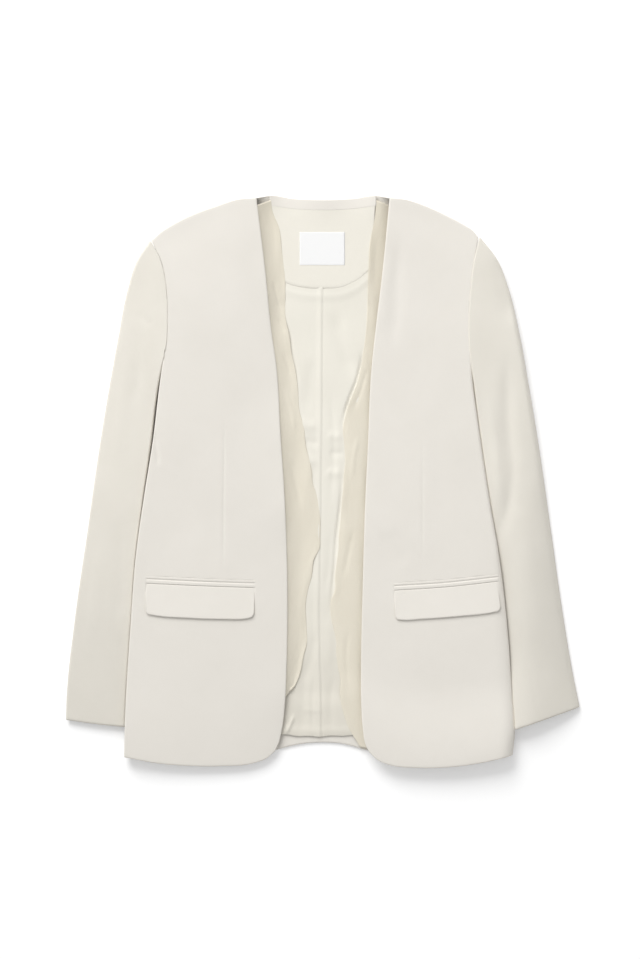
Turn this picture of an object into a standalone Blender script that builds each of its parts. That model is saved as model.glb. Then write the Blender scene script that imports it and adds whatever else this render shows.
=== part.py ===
"""Collarless open-front blazer, laid flat on its back with the fronts parted.

Neck to +Y, hem to -Y, the wearer's left to +X, and the surface it lies on at Z = 0.
Sizes and places are in millimetres: "out" is the distance from the centre line towards
a side, "up" is Y. Every piece of cloth is a grid laid on its cut outline, with a height
for each layer, and Solidify gives it its wall.
"""

import bmesh
import bpy
import numpy as np

MM = 0.001
SIDES = {"right": -1, "left": 1}

# Walls of the cloth, and what is left between two pieces.
SHELL_WALL = 1.6
FACING_WALL = 1.2
LINING_WALL = 1.0
GAP = 0.3
SEAM_GAP = 1.0  # between the outer faces of two rounded edges, whose walls then end GAP apart

# Outlines of the cut pieces as they lie: out and up on the wearer's right, then on the left.
FRONT_EDGE = (
    (62.5, -351.5, 60.0, -352.0),
    (58.0, -342.0, 55.5, -343.0),
    (53.0, -322.0, 51.5, -320.0),
    (49.5, -291.0, 49.7, -290.0),
    (47.0, -234.0, 49.5, -234.0),
    (46.0, -150.0, 51.5, -140.0),
    (49.5, -25.0, 55.0, -25.0),
    (55.0, 60.0, 58.5, 50.0),
    (60.5, 150.0, 62.5, 140.0),
    (67.5, 200.0, 67.5, 190.0),
    (74.5, 270.0, 77.0, 270.0),
    (86.5, 368.5, 86.5, 368.5),
)
HEM = (
    (62.5, -351.5, 60.0, -352.0),
    (74.0, -361.5, 70.0, -361.5),
    (92.0, -367.7, 86.0, -368.5),
    (134.0, -371.0, 120.0, -372.3),
    (178.0, -370.3, 160.0, -371.6),
    (215.0, -367.0, 201.5, -366.4),
    (258.7, -358.6, 247.0, -356.0),
)
SIDE_SEAM = (
    (258.7, -358.6, 247.0, -356.0),
    (257.8, -320.0, 249.5, -330.0),
    (254.0, -245.0, 246.0, -276.0),
    (250.0, -186.0, 240.5, -198.0),
    (244.5, -102.5, 231.0, -110.0),
    (235.0, -20.0, 217.0, -25.0),
    (223.5, 52.0, 206.0, 48.0),
    (210.0, 142.0, 193.5, 142.0),
)
ARMHOLE = (
    (210.0, 142.0, 193.5, 142.0),
    (203.5, 180.0, 190.2, 180.0),
    (202.2, 218.0, 189.8, 212.0),
    (204.5, 256.0, 192.0, 250.0),
    (211.0, 286.0, 196.0, 283.0),
    (223.0, 313.0, 202.0, 317.0),
)
SHOULDER = (
    (86.5, 368.5, 86.5, 368.5),
    (112.0, 365.5, 107.0, 365.5),
    (139.0, 357.7, 133.0, 357.7),
    (171.0, 346.0, 159.0, 346.0),
    (195.0, 334.0, 182.0, 334.0),
    (211.0, 324.0, 194.5, 326.0),
    (223.0, 313.0, 202.0, 317.0),
)
BACK_NECK = (
    (0.15, 366.0, 0.15, 366.0),
    (35.0, 367.5, 35.0, 367.5),
    (69.4, 372.0, 69.4, 371.8),
)
BACK_HEM = (
    (0.15, -344.0, 0.15, -344.0),
    (60.0, -347.0, 50.0, -348.0),
    (160.0, -353.0, 150.0, -354.0),
    (258.7, -358.6, 247.0, -356.0),
)
SLEEVE_OUTER = (
    (334.0, -310.5, 333.8, -294.0),
    (332.8, -278.0, 326.5, -258.5),
    (322.4, -180.5, 310.0, -160.0),
    (305.5, -63.5, 296.4, -63.5),
    (288.6, 53.5, 279.5, 53.5),
    (275.6, 131.5, 266.5, 131.5),
    (265.0, 190.0, 256.0, 190.0),
    (253.5, 248.5, 241.8, 248.5),
    (240.5, 287.5, 226.2, 287.5),
    (224.4, 312.6, 203.6, 316.6),
)
SLEEVE_INNER = (
    (209.0, -323.0, 205.0, -337.5),
    (199.0, -240.0, 185.0, -240.0),
    (190.0, -160.0, 174.0, -160.0),
    (186.0, -90.0, 171.0, -90.0),
    (192.0, -30.0, 177.0, -30.0),
    (204.5, 20.0, 188.5, 20.0),
    (215.0, 60.0, 198.5, 60.0),
    (221.0, 90.0, 205.0, 90.0),
    (220.8, 112.0, 204.8, 112.0),
    (216.8, 132.0, 200.8, 132.0),
    (210.6, 148.0, 194.6, 148.0),
)
CUFF = (
    (334.0, -310.5, 333.8, -294.0),
    (290.0, -316.5, 290.0, -308.5),
    (209.0, -323.0, 205.0, -337.5),
)
# Free inner edge of each facing, from its hem end to the neck.
FACING_INNER = (
    (44.0, -268.0, 37.5, -344.0),
    (34.0, -261.0, 29.5, -308.0),
    (21.5, -210.0, 22.6, -284.0),
    (24.0, -157.0, 17.9, -234.0),
    (5.2, -83.0, 10.9, -165.0),
    (3.6, -31.0, 20.3, -75.0),
    (17.3, 29.0, 26.0, 7.0),
    (30.0, 108.0, 24.7, 68.0),
    (46.0, 195.0, 49.4, 154.0),
    (49.4, 248.5, 58.2, 233.5),
    (56.0, 328.0, 60.6, 306.0),
    (67.0, 366.0, 69.0, 367.0),
)
# Neck facing below the neck, from the centre line to its hidden side.
NECK_FACING_LOWER = (
    (0.0, 251.0, 0.0, 251.0),
    (28.0, 252.5, 24.5, 252.5),
    (49.4, 259.0, 44.0, 261.0),
    (66.0, 276.0, 62.0, 276.0),
)
POCKET_MOUTH = (
    (88.0, -138.5, 92.0, -142.0),
    (160.0, -136.0, 160.0, -137.5),
    (230.0, -132.5, 227.5, -130.0),
)
FLAP_LOWER = (
    (90.3, -171.0, 94.1, -174.0),
    (92.0, -176.5, 95.2, -179.0),
    (97.5, -179.3, 100.0, -181.0),
    (131.0, -180.5, 130.0, -180.3),
    (175.0, -179.0, 175.0, -176.8),
    (222.0, -174.7, 222.0, -170.5),
    (228.0, -173.0, 227.8, -169.0),
    (230.3, -168.0, 229.8, -164.0),
)

# Heights of the front above the surface, by the share of its length from hem to shoulder.
FRONT_LOFT = (  # share, at the free edge, in the middle, at the side
    (0.00, 7.5, 9.0, 15.0),
    (0.06, 8.5, 11.5, 19.0),
    (0.16, 9.0, 14.0, 21.5),
    (0.35, 9.5, 16.0, 22.0),
    (0.55, 10.0, 17.5, 22.5),
    (0.72, 10.5, 19.0, 23.0),
    (0.86, 11.5, 20.0, 24.5),
    (1.00, 14.0, 22.0, 27.0),
)
SLEEVE_CREST = (  # share from cuff to cap, height of the sleeve's crest
    (0.00, 10.0),
    (0.15, 12.0),
    (0.35, 14.0),
    (0.60, 16.5),
    (0.80, 20.0),
    (1.00, 24.0),
)
TOP_EDGE = (  # out from the centre, height of the neck edge and then of the shoulder seam
    (0.0, 2.0),
    (69.0, 3.5),
    (90.0, 8.0),
    (150.0, 12.0),
    (225.0, 15.0),
)
FRONT_WIDTH, BACK_WIDTH, SLEEVE_WIDTH, FACING_WIDTH = 190.0, 250.0, 105.0, 50.0  # about, as they lie
SEAM_SHARE = 0.70  # height of the side seam as a share of the front's height there
SIDE_ROLL = 9.0  # how far in from a side seam or a sleeve's fold the cloth rounds over
SHOULDER_ROLL = 14.0
NECK_RISE = 45.0  # how far below the back neck the cloth starts to rise to its edge
ARMHOLE_CLOSES = 0.045  # share of the front's length over which the armhole shuts at the underarm
UNDERARM_OPEN = 0.40  # what it leaves open there
UNDER_BODY = 7.5  # height of the sleeve where the body lies on it
BACK_LIFT = 9.8  # height of the back where it lies on a sleeve

WELT_DEPTH = 5.5
LABEL = (59.0, 43.0)
LABEL_MIDDLE = (-1.0, 303.0)
NECK_BAND = 13.0
LINING_SIDE = 112.0  # how far out the back lining goes, under the fronts
LINING_TOP, LINING_HEM = 266.0, -333.0
FACING_TUCK = 4.0  # how far a facing starts outside the front's free edge, below it
FACING_LOW = {"right": 0.085, "left": 0.02}  # its lower end, as a share of the front's edge
FACING_HIGH = 0.985  # its upper end
FACING_DROP = 15.0  # over which it falls from the front's edge to the lining
# Up from where to where a piece climbs onto, or comes down from, the layer below it.
LINING_OFF_HEM = (-296.0, -272.0)
FACING_OFF_HEM = (-285.0, -245.0)
FACING_ON_NECK_FACING = (225.0, 245.0)
FACING_ON_BAND = (325.0, 345.0)
# The back rises over a sleeve: out from the sleeve's fold, up from its cuff, up to the underarm.
OVER_FOLD = (-38.0, -8.0)
OVER_CUFF = (-45.0, -6.0)
OVER_UNDERARM = (105.0, 140.0)
NECK_TO_SHOULDER = (66.0, 96.0)  # out, where the neck edge's rise gives way to the shoulder's
CAP = (0.92, 1.0)  # share of the sleeve over which it climbs to the armhole

COLOURS = {  # base colour and roughness
    "shell": ((0.80, 0.77, 0.72), 0.85),
    "facing": ((0.73, 0.68, 0.57), 0.85),
    "lining": ((0.88, 0.85, 0.76), 0.45),
    "label": ((0.95, 0.95, 0.94), 0.60),
}


def ease(value, start, end):
    """0 at the start, 1 at the end, smooth between."""
    share = np.clip((value - start) / (end - start), 0, 1)
    return share * share * (3 - 2 * share)


def roll(distance, reach):
    """0 at a rounded edge and 1 from reach inwards, along a quarter of an ellipse."""
    share = np.clip(distance / reach, 0, 1)
    return np.sqrt(1 - (1 - share) ** 2)


def smooth(knots, values):
    """A curve through values at the knots, as a function of the knot coordinate."""
    knots, values = np.array(knots, float), np.array(values, float)
    slopes = np.gradient(values, knots, axis=0)

    def at(where):
        where = np.clip(where, knots[0], knots[-1])
        i = np.clip(np.searchsorted(knots, where, side="right") - 1, 0, len(knots) - 2)
        width = knots[i + 1] - knots[i]
        share = (where - knots[i]) / width
        if values.ndim > 1:
            width, share = width[..., None], share[..., None]
        rise = values[i + 1] - values[i]
        bend = (1 - share) * (width * slopes[i] - rise) + share * (rise - width * slopes[i + 1])
        return values[i] + share * rise + share * (1 - share) * bend

    return at


def outline(points):
    """The curve through a row of points, by the share of its length."""
    points = np.array(points, float)
    steps = np.linalg.norm(np.diff(points, axis=0), axis=1)
    return smooth(np.append(0, np.cumsum(steps)) / steps.sum(), points)


def column(table, key):
    """A height table's column, as a function of its first column."""
    rows = np.array(table)
    return smooth(rows[:, 0], rows[:, key])


def length(points):
    """How long the straight steps through points are."""
    return np.linalg.norm(np.diff(points, axis=0), axis=1).sum()


def of_side(table, side):
    """The outline points of one side of the wearer."""
    pick = slice(0, 2) if side == "right" else slice(2, 4)
    return [row[pick] for row in table]


def joined(*lines):
    """Lines that follow each other, end to start, as one."""
    points = list(lines[0])
    for line in lines[1:]:
        points += list(line[1:])
    return points


def patch(near, far, low, high):
    """The plan of a piece between four edges: near and far run up it, low and high across."""

    def at(across, along):
        a, u = across[..., None], along[..., None]
        ends = (1 - u) * ((1 - a) * low(0 * across) + a * low(0 * across + 1))
        ends = ends + u * ((1 - a) * high(0 * across) + a * high(0 * across + 1))
        return (1 - a) * near(along) + a * far(along) + (1 - u) * low(across) + u * high(across) - ends

    return at


def between(low, high):
    """The plan between two lines, its sides straight from end to end."""
    sides = []
    for share in (0.0, 1.0):
        end = np.array([share])
        sides.append(outline((low(end)[0], high(end)[0])))
    return patch(sides[0], sides[1], low, high)


def shares(count, length, first=0.0, last=0.0):
    """Steps along a length: even in the middle, closer over a rolled first or last stretch."""
    turn = 1 - np.cos(np.radians((0.0, 10.0, 45.0)))
    start = first / length * turn if first else np.array([])
    end = 1 - last / length * turn[::-1] if last else np.array([])
    middle = np.linspace(first / length, 1 - last / length, count)
    return np.concatenate([start, middle, end])


class Panel:
    """A piece's plan and height by two shares: across it from 0 to 1, and along it from 0 to 1."""

    def distance(self, across, along, edge_across, edge_along):
        """How far a place is from the place at other shares, in plan."""
        there = self.plan(edge_across + 0 * across, edge_along + 0 * along)
        return np.linalg.norm(self.plan(across, along) - there, axis=-1)

    def shares_at(self, points):
        """The shares of the places in plan that points give, by Newton's steps."""
        found = np.full((len(points), 2), 0.5)
        for _ in range(12):
            here = self.plan(*found.T)
            step = np.where(found < 0.5, 1e-5, -1e-5)
            by_across = self.plan(found[:, 0] + step[:, 0], found[:, 1]) - here
            by_along = self.plan(found[:, 0], found[:, 1] + step[:, 1]) - here
            slopes = np.stack([by_across, by_along], axis=-1) / step[:, None, :]
            found = np.clip(found + np.linalg.solve(slopes, (points - here)[..., None])[..., 0], 0, 1)
        return found.T

    def on(self, points):
        """The height at places in plan."""
        return self.height(*self.shares_at(points))


class Front(Panel):
    """One front, from the free edge to the side, and from the hem to the shoulder."""

    def __init__(self, side):
        seam, armhole = of_side(SIDE_SEAM, side), of_side(ARMHOLE, side)
        self.edge = outline(of_side(FRONT_EDGE, side))
        self.plan = patch(
            self.edge,
            outline(joined(seam, armhole)),
            outline(of_side(HEM, side)),
            outline(of_side(SHOULDER, side)),
        )
        self.underarm = length(seam) / (length(seam) + length(armhole))

    def closed(self, along):
        """1 where the side is a seam, 0 along the open armhole, and nearly shut at the underarm."""
        seam = 1 - UNDERARM_OPEN * (1 - ease(self.underarm - along, 0, ARMHOLE_CLOSES))
        armhole = (1 - UNDERARM_OPEN) * (1 - roll(along - self.underarm, ARMHOLE_CLOSES))
        return np.where(along < self.underarm, seam, armhole)

    def side_seam(self, along):
        return SEAM_SHARE * column(FRONT_LOFT, 3)(along)

    def loft(self, across, along):
        edge, middle, side = (column(FRONT_LOFT, key)(along) for key in (1, 2, 3))
        from_edge = edge * (1 - across) * (1 - 2 * across)
        return from_edge + middle * 4 * across * (1 - across) + side * across * (2 * across - 1)

    def height(self, across, along):
        side_seam, loft = self.side_seam(along), self.loft(across, along)
        rounded = 1 - roll(self.distance(across, along, 1, along), SIDE_ROLL)
        height = loft + self.closed(along) * rounded * (side_seam - loft)
        shoulder_seam = column(TOP_EDGE, 1)(self.plan(across, along)[..., 0])
        rounded = 1 - roll(self.distance(across, along, across, 1), SHOULDER_ROLL)
        return SEAM_GAP + height + rounded * (shoulder_seam - height)


class Back(Panel):
    """One half of the back, from the centre to the side, and from the hem to the neck and shoulder."""

    def __init__(self, side):
        self.front = Front(side)
        hem, neck = of_side(BACK_HEM, side), of_side(BACK_NECK, side)
        self.plan = patch(
            outline((hem[0], neck[0])),
            outline(joined(of_side(SIDE_SEAM, side), of_side(ARMHOLE, side))),
            outline(hem),
            outline(neck + of_side(SHOULDER, side)),
        )
        inner, cuff = np.array(of_side(SLEEVE_INNER, side)), np.array(of_side(CUFF, side))
        self.fold_out = smooth(inner[:, 1], inner[:, 0])
        self.cuff_up = smooth(cuff[::-1, 0], cuff[::-1, 1])

    def lift(self, place):
        """How far the sleeve below raises the back."""
        out, up = place[..., 0], place[..., 1]
        over_sleeve = ease(out - self.fold_out(up), *OVER_FOLD)
        above_cuff = ease(up - self.cuff_up(out), *OVER_CUFF)
        below_underarm = 1 - ease(up, *OVER_UNDERARM)
        return BACK_LIFT * over_sleeve * above_cuff * below_underarm

    def height(self, across, along):
        lift, side_seam = self.lift(self.plan(across, along)), self.front.side_seam(along)
        rounded = 1 - roll(self.distance(across, along, 1, along), SIDE_ROLL)
        height = lift + self.front.closed(along) * rounded * (side_seam - lift)
        out = self.plan(across, 0 * along + 1)[..., 0]
        to_top = self.distance(across, along, across, 1)
        at_shoulder = 1 - roll(to_top, SHOULDER_ROLL)
        at_neck = (1 - np.clip(to_top / NECK_RISE, 0, 1)) ** 2
        rounded = at_neck + ease(out, *NECK_TO_SHOULDER) * (at_shoulder - at_neck)
        return height + rounded * (column(TOP_EDGE, 1)(out) - height)


class Sleeve(Panel):
    """One sleeve, from the outer fold to the inner one, and from the cuff to the cap."""

    def __init__(self, side):
        self.front, self.back = Front(side), Back(side)
        outer, inner = of_side(SLEEVE_OUTER, side), of_side(SLEEVE_INNER, side)
        cap = [(out + SEAM_GAP, up) for out, up in of_side(ARMHOLE, side)[-2:0:-1]]
        self.plan = patch(
            outline(outer),
            outline(inner),
            outline(of_side(CUFF, side)),
            outline([outer[-1], *cap, inner[-1]]),
        )

    def tube(self, across, along, crest):
        """Height of a layer that ends at half the sleeve's height in both folds."""
        outer = 1 - roll(self.distance(across, along, 0, along), SIDE_ROLL)
        inner = 1 - roll(self.distance(across, along, 1, along), SIDE_ROLL)
        outer_fold = 0.5 * column(SLEEVE_CREST, 1)(along)
        return crest + outer * (outer_fold - crest) + inner * (0.5 * UNDER_BODY - crest)

    def to_seam(self, across, along, height, body):
        """The height of a layer, led up to the armhole of the body's own layer."""
        seam = body.height(0 * across + 1, 1 - across * (1 - self.front.underarm))
        return height + ease(along, *CAP) * (seam - height)

    def top(self, across, along):
        crest = column(SLEEVE_CREST, 1)(along)
        under_body = ease(across, 0.15, 0.45 + 0.4 * ease(along, 0.7, 1))
        crest = crest + under_body * (UNDER_BODY - crest)
        return self.to_seam(across, along, SEAM_GAP + self.tube(across, along, crest), self.front)

    def under(self, across, along):
        return self.to_seam(across, along, self.tube(across, along, 0), self.back)


def lay(name, kind, wall, across, along, place, up=True):
    """A piece of cloth: a grid laid at place(across, along), walled by Solidify."""
    mesh = bpy.data.meshes.new(name)
    grid = bmesh.new()
    bmesh.ops.create_grid(grid, x_segments=len(across) - 1, y_segments=len(along) - 1, size=0.5)
    corners = np.array([vertex.co[:2] for vertex in grid.verts]) + 0.5
    i = np.rint(corners[:, 0] * (len(across) - 1)).astype(int)
    j = np.rint(corners[:, 1] * (len(along) - 1)).astype(int)
    for vertex, point in zip(grid.verts, place(across[i], along[j])):
        vertex.co = point * MM
    grid.normal_update()
    if (sum(face.normal.z for face in grid.faces) > 0) != up:
        bmesh.ops.reverse_faces(grid, faces=grid.faces)
    grid.to_mesh(mesh)
    grid.free()
    mesh.shade_smooth()
    mesh.materials.append(bpy.data.materials[kind])
    piece = bpy.data.objects.new(name, mesh)
    solidify = piece.modifiers.new("Wall", "SOLIDIFY")
    solidify.thickness = wall * MM
    solidify.offset = -1
    bpy.data.collections["Blazer"].objects.link(piece)
    return piece


def standing(side, plan, height):
    """A place function from a plan and a height on one side of the wearer."""

    def place(across, along):
        flat = plan(across, along)
        return np.column_stack([SIDES[side] * flat[:, 0], flat[:, 1], height(across, along)])

    return place


def sleeve_columns():
    return shares(5, SLEEVE_WIDTH, first=SIDE_ROLL, last=SIDE_ROLL)


def body_rows(side):
    """Rows of the fronts and the back: along the armhole they meet the sleeve's columns."""
    underarm = Front(side).underarm
    near_hem = (0.0, 0.016, 0.045)
    below = underarm * np.append(near_hem, np.linspace(0.085, 1, 10))
    return np.append(below[:-1], 1 - sleeve_columns()[::-1] * (1 - underarm))


def back_columns():
    return shares(10, BACK_WIDTH, last=SIDE_ROLL)


def make_front(side):
    front = Front(side)
    across, place = shares(8, FRONT_WIDTH, last=SIDE_ROLL), standing(side, front.plan, front.height)
    lay(f"front_{side}", "shell", SHELL_WALL, across, body_rows(side), place)


def make_back(side):
    back = Back(side)
    place = standing(side, back.plan, back.height)
    lay(f"back_{side}", "shell", SHELL_WALL, back_columns(), body_rows(side), place, up=False)


def make_sleeve(side):
    sleeve = Sleeve(side)
    across, along = sleeve_columns(), np.append(np.linspace(0, 0.92, 13), (0.96, 1.0))
    lay(f"top_sleeve_{side}", "shell", SHELL_WALL, across, along, standing(side, sleeve.plan, sleeve.top))
    place = standing(side, sleeve.plan, sleeve.under)
    lay(f"under_sleeve_{side}", "shell", SHELL_WALL, across, along, place, up=False)


def both_sides(backs, points):
    """The height of the two halves of the back at places in plan, x and y."""
    out, up = np.abs(points[:, 0]), points[:, 1]
    place = np.column_stack([out, up])
    return np.where(points[:, 0] < 0, backs["right"].on(place), backs["left"].on(place))


def make_facing(side, backs):
    """A facing starts below the front's free edge and falls onto the lining."""
    front, low = Front(side), FACING_LOW[side]
    inner = outline(of_side(FACING_INNER, side))

    def outer(along):
        return front.edge(low + (FACING_HIGH - low) * along) + (FACING_TUCK, 0)

    crossed = between(outer, inner)

    def plan(across, along):
        return crossed(along, across)

    def height(across, along):
        place, edge = plan(across, along), plan(0 * across, along)
        below_front = front.on(edge) - SHELL_WALL - 4 * GAP
        lying = under_facing(place[:, 1]) + both_sides(backs, place * (SIDES[side], 1)) + FACING_WALL
        fallen = ease(np.linalg.norm(place - edge, axis=-1), 0, FACING_DROP)
        return below_front + fallen * (lying - below_front)

    across, along = shares(3, FACING_WIDTH, first=FACING_DROP), np.linspace(0, 1, 22)
    lay(f"facing_{side}", "facing", FACING_WALL, across, along, standing(side, plan, height))


def under_facing(up):
    """How far above the back's outer face the layers under a front facing reach, gap included."""
    layers = SHELL_WALL + GAP + LINING_WALL + GAP
    on_hem = (GAP + FACING_WALL) * (1 - ease(up, *FACING_OFF_HEM))
    on_neck_facing = (GAP + FACING_WALL) * ease(up, *FACING_ON_NECK_FACING)
    on_band = (2 * GAP + LINING_WALL) * ease(up, *FACING_ON_BAND)
    return layers + on_hem + on_neck_facing + on_band


def neck_plan(low, high):
    """The plan of a piece along the back neck, from one side of the wearer to the other."""

    def across_both(table, reach):
        right, left = of_side(table, "right"), of_side(table, "left")
        points = [(-out, up) for out, up in right[::-1]] + left[1:]
        return outline([(x, up + reach) for x, up in points])

    return between(across_both(*low), across_both(*high))


def raised(backs, plan, rise):
    """A place function for what lies on the back, its face at a rise above the back's outer face."""

    def place(across, along):
        flat = plan(across, along)
        return np.column_stack([flat, both_sides(backs, flat) + rise])

    return place


def make_neck(backs):
    """The neck facing over the lining's top, the band along the neck edge, and the label."""
    facing_rise = SHELL_WALL + 2 * GAP + LINING_WALL + FACING_WALL
    facing = neck_plan((NECK_FACING_LOWER, 0.0), (BACK_NECK, 0.0))
    across = np.linspace(0, 1, 13)
    place = raised(backs, facing, facing_rise)
    along = np.append(np.linspace(0, 0.8, 4), (0.887, 0.943, 1.0))
    lay("neck_facing", "facing", FACING_WALL, across, along, place)
    band = neck_plan((BACK_NECK, -NECK_BAND), (BACK_NECK, 0.0))
    place = raised(backs, band, facing_rise + 2 * GAP + LINING_WALL)
    lay("neck_band", "shell", LINING_WALL, across, np.linspace(0, 1, 3), place)

    def label(across, along):
        return np.column_stack([(across - 0.5) * LABEL[0], (along - 0.5) * LABEL[1]]) + LABEL_MIDDLE

    place = raised(backs, label, facing_rise + GAP + LINING_WALL)
    lay("label", "label", LINING_WALL, np.linspace(0, 1, 3), np.linspace(0, 1, 3), place)


def make_lining(side, backs):
    """Half of the back lining: over the hem's turn-up below, and under the neck facing above."""
    seam = outline([(GAP / 2, LINING_HEM), (GAP / 2, LINING_TOP)])

    def plan(across, along):
        return seam(along) + across[:, None] * (LINING_SIDE, 0)

    def height(across, along):
        place = plan(across, along)
        on_hem = (GAP + FACING_WALL) * (1 - ease(place[:, 1], *LINING_OFF_HEM))
        return backs[side].on(place) + SHELL_WALL + GAP + LINING_WALL + on_hem

    along = np.append((0.0, 0.03, 0.06, 0.08), np.linspace(0.1, 1, 9))
    lay(f"lining_{side}", "lining", LINING_WALL, np.linspace(0, 1, 5), along, standing(side, plan, height))


def make_hem(side, backs):
    """The turned-up hem inside one half of the back."""
    back = backs[side]

    def height(across, along):
        return back.height(across, along) + SHELL_WALL + GAP + FACING_WALL

    across, along = back_columns()[:-3], body_rows(side)[:4]
    lay(f"hem_{side}", "shell", FACING_WALL, across, along, standing(side, back.plan, height))


def make_pocket(side):
    """A welt above the pocket's mouth and a flap below it, both on the front."""
    front = Front(side)
    mouth, lower = outline(of_side(POCKET_MOUTH, side)), outline(of_side(FLAP_LOWER, side))
    above = outline([(out, up + WELT_DEPTH) for out, up in of_side(POCKET_MOUTH, side)])
    below = outline([(out, up - GAP) for out, up in of_side(POCKET_MOUTH, side)])
    pieces = (
        ("pocket_welt", FACING_WALL, mouth, above, np.linspace(0, 1, 8), np.array((0.0, 1.0))),
        ("pocket_flap", SHELL_WALL, lower, below, np.linspace(0, 1, 13), np.linspace(0, 1, 4)),
    )
    for name, wall, low, high, across, along in pieces:
        plan = between(low, high)

        def height(across, along):
            return front.on(plan(across, along)) + 2 * GAP + wall

        lay(f"{name}_{side}", "shell", wall, across, along, standing(side, plan, height))


def make_materials():
    for kind, (colour, roughness) in COLOURS.items():
        material = bpy.data.materials.new(kind)
        material.use_nodes = True
        principled = material.node_tree.nodes["Principled BSDF"]
        principled.inputs["Base Color"].default_value = (*colour, 1)
        principled.inputs["Roughness"].default_value = roughness
        principled.inputs["Metallic"].default_value = 0


def main():
    for old in list(bpy.data.objects):
        bpy.data.objects.remove(old, do_unlink=True)
    blazer = bpy.data.collections.new("Blazer")
    bpy.context.scene.collection.children.link(blazer)
    make_materials()
    backs = {side: Back(side) for side in SIDES}
    for side in SIDES:
        make_front(side)
        make_back(side)
        make_sleeve(side)
        make_facing(side, backs)
        make_lining(side, backs)
        make_hem(side, backs)
        make_pocket(side)
    make_neck(backs)


main()
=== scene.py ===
"""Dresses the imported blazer: every panel again in fine cloth, with its seams, creases and finish.

The blazer lies flat on its back, neck to +Y, the wearer's left to +X. Sizes and places are in
millimetres: "out" is the distance from the centre line towards a side, "up" is Y. Every piece
is a grid laid on its cut outline, with a height for each layer and a relief of creases on it.
"""

import bpy
import numpy as np
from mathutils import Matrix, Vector


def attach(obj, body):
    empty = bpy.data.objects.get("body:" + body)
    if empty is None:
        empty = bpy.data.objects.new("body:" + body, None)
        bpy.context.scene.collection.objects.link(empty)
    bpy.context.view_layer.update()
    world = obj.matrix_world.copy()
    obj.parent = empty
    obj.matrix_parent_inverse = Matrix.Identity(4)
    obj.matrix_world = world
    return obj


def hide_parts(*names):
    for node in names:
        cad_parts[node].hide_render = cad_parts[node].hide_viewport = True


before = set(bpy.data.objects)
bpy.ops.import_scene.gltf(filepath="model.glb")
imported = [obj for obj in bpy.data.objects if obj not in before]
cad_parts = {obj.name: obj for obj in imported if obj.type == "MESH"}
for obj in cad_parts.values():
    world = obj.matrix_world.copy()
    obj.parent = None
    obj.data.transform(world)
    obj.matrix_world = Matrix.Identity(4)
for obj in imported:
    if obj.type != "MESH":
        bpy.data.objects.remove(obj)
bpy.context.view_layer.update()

MM = 0.001
SIDES = {"right": -1, "left": 1}

# Walls of the cloth in the frame and the gap between its layers.
SHELL_WALL, FACING_WALL, LINING_WALL = 1.6, 1.2, 1.0
GAP = 0.3
LAYER_GAP = 1.0  # between the fronts and the back at their rounded edges
ARMHOLE_GAP = 0.1  # between the body and the sleeve along the armhole seam

# What each piece is: its finish, its wall as it shows, its slot, and its cut's flat size and area.
PIECES = {
    "front": ("shell", 0.9, "shell", (0.22, 0.745), 0.135),
    "back": ("shell", 0.9, "shell", (0.265, 0.74), 0.17),
    "sleeve": ("sleeve", 0.9, "shell", (0.27, 0.665), 0.13),
    "facing": ("facing", 0.8, "facing", (0.075, 0.72), 0.026),
    "lining": ("lining", 0.4, "lining", (0.245, 0.62), 0.14),
    "hem": ("shell", 0.8, "shell", (0.505, 0.06), 0.029),
    "neck_facing": ("neck", 0.8, "facing", (0.16, 0.122), 0.017),
    "neck_band": ("band", 0.3, "shell", (0.145, 0.0145), None),
    "label": ("label", 0.35, "label", (0.059, 0.043), None),
    "pocket_welt": ("shell", 0.8, "shell", (0.145, 0.01), 0.0012),
    "pocket_flap": ("shell", 0.8, "shell", (0.145, 0.045), 0.006),
}

# Outlines of the cut pieces as they lie: out and up on the wearer's right, then on the left.
FRONT_EDGE = (
    (62.5, -351.5, 60, -352), (58, -342, 55.5, -343), (53, -322, 51.5, -320), (49.5, -291, 49.7, -290),
    (47, -234, 49.5, -234), (46, -150, 51.5, -140), (49.5, -25, 55, -25), (55, 60, 58.5, 50),
    (60.5, 150, 62.5, 140), (67.5, 200, 67.5, 190), (74.5, 270, 77, 270), (86.5, 368.5, 86.5, 368.5),
)
HEM = (
    (62.5, -351.5, 60, -352), (74, -361.5, 70, -361.5), (92, -367.7, 86, -368.5),
    (134, -371, 120, -372.3), (178, -370.3, 160, -371.6), (215, -367, 201.5, -366.4),
    (258.7, -358.6, 247, -356),
)
SIDE_SEAM = (
    (258.7, -358.6, 247, -356), (257.8, -320, 249.5, -330), (254, -245, 246, -276),
    (250, -186, 240.5, -198), (243.8, -102.5, 231, -110), (232.6, -20, 217, -25), (221.2, 52, 206, 48),
    (210, 142, 193.5, 142),
)
ARMHOLE = (
    (210, 142, 193.5, 142), (203.5, 180, 190.2, 180), (202.2, 218, 189.8, 212), (204.5, 256, 192, 250),
    (211, 286, 196, 283), (223, 313, 202, 317),
)
SHOULDER = (
    (86.5, 368.5, 86.5, 368.5), (112, 365.5, 107, 365.5), (139, 357.7, 133, 357.7),
    (171, 346, 159, 346), (195, 334, 182, 334), (211, 324, 194.5, 326), (223, 313, 202, 317),
)
BACK_NECK = ((0, 366, 0, 366), (35, 367.5, 35, 367.5), (69.4, 372, 69.4, 371.8))
BACK_HEM = (
    (0, -340.8, 0, -340.8), (24, -342.3, 24, -342.5), (44, -346, 40, -346.2), (64, -351.5, 56, -351),
    (90, -354.5, 80, -354.5), (160, -356, 150, -356), (258.7, -358.6, 247, -356),
)
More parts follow.
